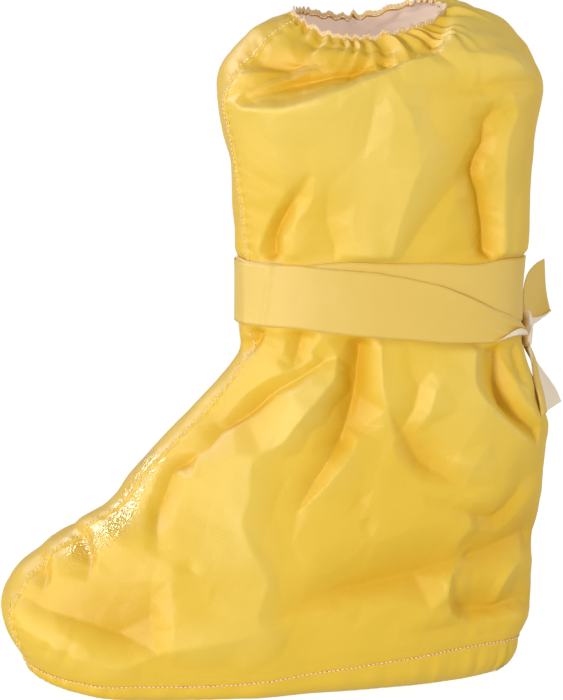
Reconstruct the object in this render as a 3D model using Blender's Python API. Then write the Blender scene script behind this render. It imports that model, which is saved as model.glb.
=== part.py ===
"""Chemical boot cover: a tall overshoe sewn from coated fabric, standing empty on its sole.

Metres, +Z up. The toe points to -X and the heel to +X. The origin is on the floor, under the middle
of the part. A folded upper is sewn up its front and onto a soft sole. Elastic gathers its collar, and
a tie goes twice round the ankle to a knot at the back.
"""

import math
from collections import namedtuple

import bpy
import numpy as np

MM = 0.001

# Driving dimensions, in millimetres
FOOT_LENGTH = 346.0     # toe tip to the furthest point of the back
HEIGHT = 430.0          # what the sections' heights are shares of, near the collar's top edge
BALL_WIDTH = 120.0      # widest part of the foot
TOE_TIP_X = -178.2      # where the toe tip stands in the part's frame
FABRIC = 0.8            # wall of upper, sole and tie
GAP = 0.3               # clearance between pieces that lie on each other
TIE_WIDTH = 40.0
TIE_BOTTOM = 228.0      # height of the tie's lower edge, all round the ankle
ELASTIC_HEIGHT = 4.0    # overlocked elastic edge of the collar
ELASTIC_THICKNESS = 2.4
SEAM_HEIGHT = 0.6       # how far the sewn ridges stand proud
TOE_SPRING = 18.0       # lift of the sole's edge at the toe tip
TOE_SPRING_LENGTH = 92.0
HEEL_SPRING = 6.0       # lift of the sole's edge at the back of the heel
HEEL_SPRING_LENGTH = 75.0

# Mesh density
COLUMNS = 56            # points round each section
GATHERS = 14            # pleats round the collar, four points to a pleat
GATHER_DEPTH = 1.6

# Sections of the upper, from the sole seam up to the collar. Front and back say where the section meets
# the front and back lines of the boot: x in hundredths of the foot's length behind the toe tip, z in
# hundredths of the height. Width is in hundredths of the ball width. Taper widens the section towards
# the back, roundness is a superellipse's power, and dip is how far its sides hang below its ends, in
# millimetres, with skew moving the lowest point forward. Rings is how many steps lead to the next section.
Section = namedtuple("Section", "name rings front_x front_z back_x back_z width taper roundness dip skew")
TIE_LOW = 100 * TIE_BOTTOM / HEIGHT
TIE_HIGH = 100 * (TIE_BOTTOM + TIE_WIDTH) / HEIGHT
SECTIONS = (
    Section("sole seam", 1, 4.8, 4.0, 94.3, 5.6, 94, -0.12, 2.6, 9, 1.2),
    Section("feather", 1, 1.8, 7.4, 97.0, 10.0, 99, -0.12, 2.6, 11, 0.6),
    Section("toe tip", 1, 0.0, 11.8, 97.7, 14.4, 100, -0.11, 2.5, 10, 0.4),
    Section("toe crown", 1, 0.9, 15.2, 98.3, 19.0, 97, -0.08, 2.4, 8, 0.35),
    Section("toe top", 1, 3.4, 18.2, 98.8, 23.0, 94, -0.03, 2.3, 6, 0.35),
    Section("toe box", 1, 10.2, 22.0, 99.2, 26.4, 91, 0.02, 2.3, 5, 0.35),
    Section("vamp", 2, 19.2, 26.6, 99.6, 29.8, 88, 0.08, 2.2, 3, 0.35),
    Section("instep", 2, 25.5, 32.1, 100.1, 34.0, 84, 0.14, 2.2, 1, 0.35),
    Section("heel hump", 2, 37.2, 41.9, 100.2, 38.6, 82, 0.10, 2.3, 0, 0.35),
    Section("ankle", 1, 43.1, 48.4, 96.2, 47.2, 80, 0.04, 2.3, 0, 0.35),
    Section("tie low", 2, 43.8, TIE_LOW, 95.1, TIE_LOW, 79, 0.02, 2.3, 0, 0.35),
    Section("tie high", 2, 43.7, TIE_HIGH, 95.5, TIE_HIGH, 81, 0.02, 2.3, 0, 0.35),
    Section("calf", 3, 42.4, 73.0, 96.4, 73.0, 91, 0.03, 2.4, 0, 0.35),
    Section("shaft top", 2, 40.2, 87.6, 97.9, 87.6, 97, 0.03, 2.5, 0, 0.35),
    Section("shoulder", 2, 45.8, 94.4, 93.2, 94.6, 87, 0.02, 2.4, 4, 0.35),
    Section("throat", 1, 51.2, 96.5, 87.0, 97.3, 70, 0.02, 2.3, 9, 0.35),
    Section("collar edge", 0, 53.6, 97.0, 80.9, 97.9, 55, 0.0, 2.2, 12, 0.35),
)
FIRST_GATHERED = "shaft top"

# The sole's rim, from the seam down to the floor: its height, and how far it lies inside the seam's
# outline, both as shares of the seam's own height over the floor. Where the seam is higher than
# RIM_FULL_HEIGHT, in millimetres, the rim turns in no further.
RIM_FULL_HEIGHT = 13.0
RimRow = namedtuple("RimRow", "name height inset")
SOLE_RIM = (
    RimRow("seam", 1.0, 0.0),
    RimRow("rim", 0.45, 0.12),
    RimRow("turn", 0.10, 0.45),
    RimRow("tread edge", 0.0, 0.9),
)

# The tie's second turn lies over the first. Along its way from the front to the knot it sinks and
# narrows: share of the way, height of its lower edge, and its width there, in millimetres.
TurnRow = namedtuple("TurnRow", "name way low width")
SECOND_TURN = (
    TurnRow("front", 0.0, TIE_BOTTOM + 1.0, TIE_WIDTH - 2.0),
    TurnRow("quarter", 0.33, TIE_BOTTOM, TIE_WIDTH - 1.0),
    TurnRow("flank", 0.51, TIE_BOTTOM - 5.0, TIE_WIDTH),
    TurnRow("sinking", 0.64, TIE_BOTTOM - 9.0, 35.0),
    TurnRow("gathered", 0.80, TIE_BOTTOM - 10.5, 21.0),
    TurnRow("at the knot", 1.0, TIE_BOTTOM - 12.0, 9.0),
)
TURN_STRIPS = 3         # strips across the second turn
KNOT_GAP_COLUMNS = 2    # columns each side of the back line that the knot takes

# The knot: a wrapped lump behind the ankle, in sections from its lower end to its upper end.
KnotRow = namedtuple("KnotRow", "name height depth width")
KNOT = (
    KnotRow("lower mouth", -11.0, 2.0, 12.0),
    KnotRow("lower roll", -7.0, 3.0, 17.0),
    KnotRow("waist", 0.0, 3.4, 19.0),
    KnotRow("upper roll", 7.0, 3.0, 17.0),
    KnotRow("upper mouth", 11.0, 2.0, 12.0),
)
KNOT_X = 156.1
KNOT_Z = 221.0
KNOT_SIDES = 14

# The two free ends of the tie, from the knot outwards: centre line, half width, the direction that the
# width runs in, and how deep the strip is troughed.
TailRow = namedtuple("TailRow", "name x y z half_width wide_x wide_y wide_z trough")
UPPER_TAIL = (
    TailRow("root", KNOT_X, 9.7, 224.0, 6.5, 0.0, 0.0, 1.0, 0.0),
    TailRow("rise", 157.7, 15.0, 229.5, 13.0, 0.0, 0.10, 1.0, 1.5),
    TailRow("middle", 162.7, 24.0, 236.0, 17.0, 0.0, 0.30, 1.0, 2.0),
    TailRow("run", 170.2, 33.5, 240.5, 19.0, 0.0, 0.50, 1.0, 1.0),
    TailRow("end", 177.8, 42.0, 243.5, 19.5, 0.0, 0.70, 1.0, 0.5),
)
LOWER_TAIL = (
    TailRow("root", KNOT_X, 0.0, 209.6, 5.5, 0.0, 1.0, 0.0, 0.0),
    TailRow("fall", 159.5, -3.0, 202.0, 9.0, 0.25, 1.0, 0.0, 1.0),
    TailRow("middle", 163.0, -7.0, 191.5, 12.5, 0.50, 1.0, 0.05, 1.0),
    TailRow("run", 166.9, -11.4, 181.0, 14.5, 0.62, 1.0, 0.12, 0.8),
    TailRow("end", 168.9, -14.7, 171.5, 15.5, 0.72, 1.0, 0.20, 0.5),
)
TAIL_STRIPS = 4

# The front seam lies on the near side of the front line, on one column of the upper's points.
SEAM_COLUMN = 3
SEAM_HALF_WIDTH = 0.35  # in columns
SEAM_TOP = 0.8          # share of the upper's last ring that the front seam climbs
SOLE_SEAM_UP = 0.22     # share of the upper's first ring that the sole seam's ridge covers
SOLE_SEAM_DOWN = 0.30   # share of the sole's first rim row that it covers

YELLOW = (0.85, 0.56, 0.08, 1.0)
YELLOW_TIE = (0.86, 0.60, 0.16, 1.0)
THREAD = (0.84, 0.76, 0.62, 1.0)


def fabric_material(name, colour, roughness):
    material = bpy.data.materials.new(name)
    material.use_nodes = True
    shader = material.node_tree.nodes["Principled BSDF"]
    shader.inputs["Base Color"].default_value = colour
    shader.inputs["Roughness"].default_value = roughness
    shader.inputs["Metallic"].default_value = 0.0
    return material


def smooth_rows(rows):
    """A Catmull-Rom curve through rows of numbers, read at each whole step and between."""
    rows = np.asarray(rows, float)
    padded = np.vstack([2 * rows[0] - rows[1], rows, 2 * rows[-1] - rows[-2]])

    def at(position):
        index = min(int(position), len(rows) - 2)
        t = position - index
        a, b, c, d = padded[index:index + 4]
        return 0.5 * (2 * b + (c - a) * t + (2 * a - 5 * b + 4 * c - d) * t**2
                      + (3 * b - a - 3 * c + d) * t**3)

    return at


def section_positions():
    """Where along the table of sections each ring lies: whole numbers are the sections themselves."""
    positions = []
    for index, section in enumerate(SECTIONS[:-1]):
        positions += [index + step / section.rings for step in range(section.rings)]
    return positions + [len(SECTIONS) - 1]


def ring_of(name):
    """Index of the ring that lies on the named section."""
    names = [section.name for section in SECTIONS]
    return section_positions().index(names.index(name))


def section_ring(values):
    """Points round one section, from the front line over the near side (-Y) to the back and round."""
    front_x, front_z, back_x, back_z, width, taper, roundness, dip, skew = values
    angle = np.arange(COLUMNS) * 2 * math.pi / COLUMNS
    along = -np.sign(np.cos(angle)) * np.abs(np.cos(angle)) ** (2 / roundness)
    across = -np.sign(np.sin(angle)) * np.abs(np.sin(angle)) ** (2 / roundness)
    share = (1 + along) / 2
    x = TOE_TIP_X + FOOT_LENGTH / 100 * (front_x + (back_x - front_x) * share)
    y = BALL_WIDTH / 200 * width * (1 + taper * along) * across
    z = HEIGHT / 100 * (front_z + (back_z - front_z) * share)
    z -= dip * (1 - along**2) * (1 - skew * along)
    return np.stack([x, y, z], axis=1)


def grid_normals(grid, wraps):
    """Unit normals of a grid of points, pointing away from the shell's inside."""
    upward = np.gradient(grid, axis=0)
    if wraps:
        around = np.roll(grid, -1, axis=1) - np.roll(grid, 1, axis=1)
    else:
        around = np.gradient(grid, axis=1)
    normals = np.cross(around, upward)
    return normals / np.linalg.norm(normals, axis=2, keepdims=True)


def upper_grid():
    """Outer points of the upper: one row per ring, with pleats that fade in towards the collar."""
    curve = smooth_rows([section[2:] for section in SECTIONS])
    grid = np.array([section_ring(curve(position)) for position in section_positions()])
    first = ring_of(FIRST_GATHERED)
    fade = np.clip((np.arange(len(grid)) - first) / (len(grid) - 1 - first), 0, 1)
    wave = np.cos(GATHERS * np.arange(COLUMNS) * 2 * math.pi / COLUMNS)
    depth = GATHER_DEPTH * fade[:, None] * wave[None, :]
    return grid + grid_normals(grid, True) * depth[:, :, None]


def grid_faces(rows, columns, wraps):
    faces = []
    for row in range(rows - 1):
        for column in range(columns if wraps else columns - 1):
            after = (column + 1) % columns
            low, high = row * columns, (row + 1) * columns
            faces.append((low + column, low + after, high + after, high + column))
    return faces


def add_mesh(name, points, faces, material):
    mesh = bpy.data.meshes.new(name)
    mesh.from_pydata([tuple(point * MM) for point in points], [], faces)
    mesh.materials.append(material)
    mesh.shade_smooth()
    piece = bpy.data.objects.new(name, mesh)
    bpy.context.scene.collection.objects.link(piece)
    return piece


def add_sheet(name, points, faces, material, thickness, offset):
    """A sheet of fabric as a solid. Offset is Solidify's: -1 thickens inwards, 1 outwards, 0 both ways."""
    sheet = add_mesh(name, points, faces, material)
    wall = sheet.modifiers.new("fabric wall", "SOLIDIFY")
    wall.thickness = thickness * MM
    wall.offset = offset
    return sheet


def add_grid_sheet(name, grid, wraps, material, thickness, offset):
    rows, columns = grid.shape[:2]
    faces = grid_faces(rows, columns, wraps)
    return add_sheet(name, grid.reshape(-1, 3), faces, material, thickness, offset)


def floor_height(x):
    """Height of the sole's underside: flat under ball and heel, and rising towards both ends."""
    toe_start = TOE_TIP_X + TOE_SPRING_LENGTH
    heel_start = TOE_TIP_X + FOOT_LENGTH - HEEL_SPRING_LENGTH
    toe = np.clip((toe_start - x) / TOE_SPRING_LENGTH, 0, 1)
    heel = np.clip((x - heel_start) / HEEL_SPRING_LENGTH, 0, 1)
    return TOE_SPRING * toe**2 + HEEL_SPRING * heel**2


def sole_grid(upper):
    """Outer points of the sole's rim: the seam's outline turned in and down to the floor."""
    seam = upper[0] - np.array([0, 0, GAP])
    along = np.roll(seam, -1, axis=0) - np.roll(seam, 1, axis=0)
    inward = np.stack([along[:, 1], -along[:, 0]], axis=1)
    inward /= np.linalg.norm(inward, axis=1, keepdims=True)
    middle = seam[:, :2].mean(axis=0)
    if np.sum(inward * (middle - seam[:, :2])) < 0:
        inward = -inward
    height = seam[:, 2] - floor_height(seam[:, 0])
    turned = inward * np.minimum(height, RIM_FULL_HEIGHT)[:, None]
    rows = []
    for rim in SOLE_RIM:
        plan = seam[:, :2] + turned * rim.inset
        z = floor_height(plan[:, 0]) + height * rim.height
        rows.append(np.column_stack([plan, z]))
    rows[0][:, 2] = seam[:, 2]
    return np.array(rows)


def add_sole(upper, material):
    """The sole panel: a shallow pan whose floor is bridged across from the near side to the far side."""
    grid = sole_grid(upper)
    rows, columns = grid.shape[:2]
    faces = [face[::-1] for face in grid_faces(rows, columns, True)]
    last = (rows - 1) * columns
    half = columns // 2
    for column in range(half):
        far, farther = (columns - column) % columns, columns - column - 1
        corners = [last + column, last + column + 1, last + farther, last + far]
        faces.append(tuple(dict.fromkeys(corners[::-1])))
    return add_sheet("sole", grid.reshape(-1, 3), faces, material, FABRIC, -1)


def add_collar_elastic(upper, material):
    """The overlocked elastic edge: an upright band on the upper's gathered rim."""
    upright = np.array([0, 0, 1])
    base = upper[-1] + upright * GAP
    band = np.array([base, base + upright * ELASTIC_HEIGHT])
    return add_grid_sheet("collar_elastic", band, True, material, ELASTIC_THICKNESS, 0)


def tie_lift():
    """How far the first turn's inner face lies off the upper at each column: it rides over the front seam."""
    lift = np.full(COLUMNS, GAP)
    lift[SEAM_COLUMN - 1:SEAM_COLUMN + 2] += SEAM_HEIGHT + GAP
    return lift


def add_first_turn(upper, material):
    low, high = ring_of("tie low"), ring_of("tie high")
    band = (upper + grid_normals(upper, True) * tie_lift()[None, :, None])[low:high + 1]
    return add_grid_sheet("tie_first_turn", band, True, material, FABRIC, 1)


def point_at_height(column_points, z):
    """The point at height z on one column of the upper."""
    heights = column_points[:, 2]
    return np.array([np.interp(z, heights, column_points[:, axis]) for axis in range(3)])


def add_second_turn(upper, material):
    """A band from the knot round the front and back to the knot, over the first turn."""
    first = ring_of("heel hump")
    lift = tie_lift() + FABRIC + GAP
    outer = upper + grid_normals(upper, True) * lift[None, :, None]
    half = COLUMNS // 2
    reach = half - KNOT_GAP_COLUMNS
    ways = [row.way for row in SECOND_TURN]
    columns = []
    for step in range(-reach, reach + 1):
        way = abs(step) / reach
        low = np.interp(way, ways, [row.low for row in SECOND_TURN])
        width = np.interp(way, ways, [row.width for row in SECOND_TURN])
        points = outer[first:, step % COLUMNS]
        columns.append([point_at_height(points, low + width * strip / TURN_STRIPS)
                        for strip in range(TURN_STRIPS + 1)])
    band = np.array(columns).transpose(1, 0, 2)
    return add_grid_sheet("tie_second_turn", band, False, material, FABRIC, 1)


def add_knot(material):
    """The knot at the back line: rings from its lower mouth to its upper mouth, capped."""
    angle = np.arange(KNOT_SIDES) * 2 * math.pi / KNOT_SIDES
    rings = []
    for row in KNOT:
        x = KNOT_X + row.depth * np.cos(angle)
        y = row.width / 2 * np.sin(angle)
        rings.append(np.stack([x, y, np.full(KNOT_SIDES, KNOT_Z + row.height)], axis=1))
    faces = grid_faces(len(KNOT), KNOT_SIDES, True)
    top = (len(KNOT) - 1) * KNOT_SIDES
    faces.append(tuple(range(KNOT_SIDES))[::-1])
    faces.append(tuple(range(top, top + KNOT_SIDES)))
    return add_mesh("tie_knot", np.concatenate(rings), faces, material)


def add_tail(name, table, material):
    """A free end of the tie: a strip across its centre line, troughed like folded fabric."""
    across = np.linspace(-1, 1, TAIL_STRIPS + 1)[:, None]
    columns = []
    for row in table:
        wide = np.array([row.wide_x, row.wide_y, row.wide_z])
        wide /= np.linalg.norm(wide)
        centre = np.array([row.x, row.y, row.z])
        sink = np.array([-row.trough, 0, 0]) * (1 - across**2)
        columns.append(centre + wide * row.half_width * across + sink)
    grid = np.array(columns).transpose(1, 0, 2)
    return add_grid_sheet(name, grid, False, material, FABRIC, 0)


def add_front_seam(upper, material):
    """The sewn ridge up the front, from above the sole seam to just under the collar's edge."""
    rows = upper[1:].copy()
    rows[-1] = upper[-2] + (upper[-1] - upper[-2]) * SEAM_TOP
    middle = rows[:, SEAM_COLUMN]
    sides = [rows[:, SEAM_COLUMN + side] - middle for side in (-1, 0, 1)]
    ridge = np.stack([middle + side * SEAM_HALF_WIDTH for side in sides], axis=1)
    ridge += grid_normals(rows, True)[:, SEAM_COLUMN][:, None, :] * GAP
    return add_grid_sheet("front_seam", ridge, False, material, SEAM_HEIGHT, 1)


def add_sole_seam(upper, material):
    """The sewn ridge that covers the joint of upper and sole all round."""
    sole = sole_grid(upper)
    rows = np.array([
        sole[0] + (sole[1] - sole[0]) * SOLE_SEAM_DOWN,
        (sole[0] + upper[0]) / 2,
        upper[0] + (upper[1] - upper[0]) * SOLE_SEAM_UP,
    ])
    ridge = rows + grid_normals(rows, True) * GAP
    return add_grid_sheet("sole_seam", ridge, True, material, SEAM_HEIGHT, 1)


def clear_scene():
    for item in list(bpy.data.objects):
        bpy.data.objects.remove(item)


def main():
    clear_scene()
    coated = fabric_material("coated fabric", YELLOW, 0.42)
    tie = fabric_material("tie fabric", YELLOW_TIE, 0.55)
    thread = fabric_material("overlock thread", THREAD, 0.8)
    upper = upper_grid()
    add_grid_sheet("upper", upper, True, coated, FABRIC, -1)
    add_sole(upper, coated)
    add_collar_elastic(upper, thread)
    add_front_seam(upper, coated)
    add_sole_seam(upper, coated)
    add_first_turn(upper, tie)
    add_second_turn(upper, tie)
    add_knot(tie)
    add_tail("tie_upper_tail", UPPER_TAIL, tie)
    add_tail("tie_lower_tail", LOWER_TAIL, tie)


main()
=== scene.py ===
"""Looks of the chemical boot cover: creased film-coated fabric, its seams, gathered collar and ankle tie.

Millimetres in the tables, metres in the meshes. The toe points to -X, the near side is -Y, and the floor
is z = 0. The film's smooth form repeats the part's own sections, and the creases are laid over it.
"""

import math
from collections import namedtuple

import bpy
import numpy as np
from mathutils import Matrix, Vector
from mathutils.geometry import delaunay_2d_cdt


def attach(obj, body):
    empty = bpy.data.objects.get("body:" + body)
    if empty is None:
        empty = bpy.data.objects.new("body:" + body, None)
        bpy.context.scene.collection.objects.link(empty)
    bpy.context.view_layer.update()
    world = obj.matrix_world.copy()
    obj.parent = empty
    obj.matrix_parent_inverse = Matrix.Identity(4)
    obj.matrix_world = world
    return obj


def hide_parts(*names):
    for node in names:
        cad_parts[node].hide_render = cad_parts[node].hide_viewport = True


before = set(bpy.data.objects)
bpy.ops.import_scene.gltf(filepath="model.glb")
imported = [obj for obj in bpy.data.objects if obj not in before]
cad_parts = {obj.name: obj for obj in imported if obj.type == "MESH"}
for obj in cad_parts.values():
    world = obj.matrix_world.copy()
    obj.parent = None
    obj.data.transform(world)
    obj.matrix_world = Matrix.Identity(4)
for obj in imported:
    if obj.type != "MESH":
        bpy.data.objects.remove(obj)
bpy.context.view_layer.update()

MM = 0.001

# The part's driving dimensions
FOOT_LENGTH = 346.0
HEIGHT = 430.0
BALL_WIDTH = 120.0
TOE_TIP_X = -178.2
FABRIC = 0.8
GAP = 0.3
TIE_WIDTH = 40.0
TIE_BOTTOM = 228.0
TIE_TOP = TIE_BOTTOM + TIE_WIDTH
ELASTIC_HEIGHT = 4.0
ELASTIC_THICKNESS = 2.4
SEAM_HEIGHT = 0.6
TOE_SPRING = 18.0
TOE_SPRING_LENGTH = 92.0
HEEL_SPRING = 6.0
HEEL_SPRING_LENGTH = 75.0

# The part's sections: x in hundredths of the foot's length behind the toe tip, z in hundredths of the
# height, width in hundredths of the ball width, and how far the sides dip in millimetres.
Section = namedtuple("Section", "name front_x front_z back_x back_z width taper roundness dip skew")
TIE_LOW = 100 * TIE_BOTTOM / HEIGHT
TIE_HIGH = 100 * TIE_TOP / HEIGHT
SECTIONS = [Section(*row) for row in (
    ("sole seam", 4.8, 4.0, 94.3, 5.6, 94, -0.12, 2.6, 9, 1.2),
    ("feather", 1.8, 7.4, 97.0, 10.0, 99, -0.12, 2.6, 11, 0.6),
    ("toe tip", 0.0, 11.8, 97.7, 14.4, 100, -0.11, 2.5, 10, 0.4),
    ("toe crown", 0.9, 15.2, 98.3, 19.0, 97, -0.08, 2.4, 8, 0.35),
    ("toe top", 3.4, 18.2, 98.8, 23.0, 94, -0.03, 2.3, 6, 0.35),
    ("toe box", 10.2, 22.0, 99.2, 26.4, 91, 0.02, 2.3, 5, 0.35),
    ("vamp", 19.2, 26.6, 99.6, 29.8, 88, 0.08, 2.2, 3, 0.35),
    ("instep", 25.5, 32.1, 100.1, 34.0, 84, 0.14, 2.2, 1, 0.35),
    ("heel hump", 37.2, 41.9, 100.2, 38.6, 82, 0.10, 2.3, 0, 0.35),
    ("ankle", 43.1, 48.4, 96.2, 47.2, 80, 0.04, 2.3, 0, 0.35),
    ("tie low", 43.8, TIE_LOW, 95.1, TIE_LOW, 79, 0.02, 2.3, 0, 0.35),
    ("tie high", 43.7, TIE_HIGH, 95.5, TIE_HIGH, 81, 0.02, 2.3, 0, 0.35),
    ("calf", 42.4, 73.0, 96.4, 73.0, 91, 0.03, 2.4, 0, 0.35),
    ("shaft top", 40.2, 87.6, 97.9, 87.6, 97, 0.03, 2.5, 0, 0.35),
    ("shoulder", 45.8, 94.4, 93.2, 94.6, 87, 0.02, 2.4, 4, 0.35),
    ("throat", 51.2, 96.5, 87.0, 97.3, 70, 0.02, 2.3, 9, 0.35),
    ("collar edge", 53.6, 97.0, 80.9, 97.9, 55, 0.0, 2.2, 12, 0.35),
)]
SECTION_VALUES = [section[1:] for section in SECTIONS]
PLACE_OF = {section.name: place for place, section in enumerate(SECTIONS)}
LAST_PLACE = len(SECTIONS) - 1

# The sole's rim, from the seam down to the floor, as shares of the seam's own height over the floor
RimRow = namedtuple("RimRow", "name height inset")
SOLE_RIM = (
    RimRow("seam", 1.0, 0.0),
    RimRow("rim", 0.45, 0.12),
    RimRow("turn", 0.10, 0.45),
    RimRow("tread edge", 0.0, 0.9),
)

# The tie's second turn: share of the way from the front to the knot, lower edge and width
TurnRow = namedtuple("TurnRow", "name way low width")
SECOND_TURN = (
    TurnRow("front", 0.0, TIE_BOTTOM + 1.0, TIE_WIDTH - 2.0),
    TurnRow("quarter", 0.33, TIE_BOTTOM, TIE_WIDTH - 1.0),
    TurnRow("flank", 0.51, TIE_BOTTOM - 5.0, TIE_WIDTH),
    TurnRow("sinking", 0.64, TIE_BOTTOM - 9.0, 35.0),
    TurnRow("gathered", 0.80, TIE_BOTTOM - 10.5, 21.0),
    TurnRow("at the knot", 1.0, TIE_BOTTOM - 12.0, 9.0),
)
TURN_WAYS = [row.way for row in SECOND_TURN]
TURN_LOWS = [row.low for row in SECOND_TURN]
TURN_WIDTHS = [row.width for row in SECOND_TURN]
COLUMN_TURN = 2 * math.pi / 56  # the part's columns, as an angle
TURN_REACH = 26 * COLUMN_TURN  # where the second turn ends, beside the knot
SEAM_ANGLE = 3 * COLUMN_TURN  # where the front seam runs

KnotRow = namedtuple("KnotRow", "name height depth width")
KNOT = (
    KnotRow("lower mouth", -11.0, 2.0, 12.0),
    KnotRow("lower roll", -7.0, 3.0, 17.0),
    KnotRow("waist", 0.0, 3.4, 19.0),
    KnotRow("upper roll", 7.0, 3.0, 17.0),
    KnotRow("upper mouth", 11.0, 2.0, 12.0),
)
KNOT_X = 156.1
KNOT_Z = 221.0

# The tie's free ends, from the knot outwards: centre line, half width, direction of the width, trough
TailRow = namedtuple("TailRow", "name x y z half_width wide_x wide_y wide_z trough")
UPPER_TAIL = (
    TailRow("root", KNOT_X, 9.7, 224.0, 6.5, 0.0, 0.0, 1.0, 0.0),
    TailRow("rise", 157.7, 15.0, 229.5, 13.0, 0.0, 0.10, 1.0, 1.5),
    TailRow("middle", 162.7, 24.0, 236.0, 17.0, 0.0, 0.30, 1.0, 2.0),
    TailRow("run", 170.2, 33.5, 240.5, 19.0, 0.0, 0.50, 1.0, 1.0),
    TailRow("end", 177.8, 42.0, 243.5, 19.5, 0.0, 0.70, 1.0, 0.5),
)
LOWER_TAIL = (
    TailRow("root", KNOT_X, 0.0, 209.6, 5.5, 0.0, 1.0, 0.0, 0.0),
    TailRow("fall", 159.5, -3.0, 202.0, 9.0, 0.25, 1.0, 0.0, 1.0),
    TailRow("middle", 163.0, -7.0, 191.5, 12.5, 0.50, 1.0, 0.05, 1.0),
    TailRow("run", 166.9, -11.4, 181.0, 14.5, 0.62, 1.0, 0.12, 0.8),
    TailRow("end", 168.9, -14.7, 171.5, 15.5, 0.72, 1.0, 0.20, 0.5),
)

# The photograph's view of the boot. One pixel is VIEW_SCALE millimetres at the aim point.
VIEW_AZIMUTH = math.radians(-6.0)
VIEW_ELEVATION = math.radians(8.0)
VIEW_SCALE = 0.626
PICTURE_HEIGHT = 700
LENS, SENSOR = 120.0, 36.0
AIM = np.array([0.2, 0.0, 209.5])
DISTANCE = VIEW_SCALE * PICTURE_HEIGHT * LENS / SENSOR
BACK = np.array([
    math.sin(VIEW_AZIMUTH) * math.cos(VIEW_ELEVATION),
    -math.cos(VIEW_AZIMUTH) * math.cos(VIEW_ELEVATION),
    math.sin(VIEW_ELEVATION),
])
RIGHT = np.array([math.cos(VIEW_AZIMUTH), math.sin(VIEW_AZIMUTH), 0.0])
UP = np.cross(BACK, RIGHT)

# Mesh density of the upper
COLUMNS = 540
ROWS = 316
NEAR_SHARE = 1.4  # how much closer together the columns stand on the near side than on average
LINING_COLUMNS = 120
LINING_ROWS = 90
LINING_DEPTH = 1.2
LINING_SLACK = 3.5  # further that the lining hangs inside the film, away from the collar
LINING_SLACK_REACH = 30.0
ANGLE_STEP = 0.004
PLACE_STEP = 0.01
FINE_PLACES = 600  # steps that lengths over the surface are measured in, up it and round it
FINE_TURNS = 721
CLIMB_TURNS = 181
LADDER_STEPS = 200

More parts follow.
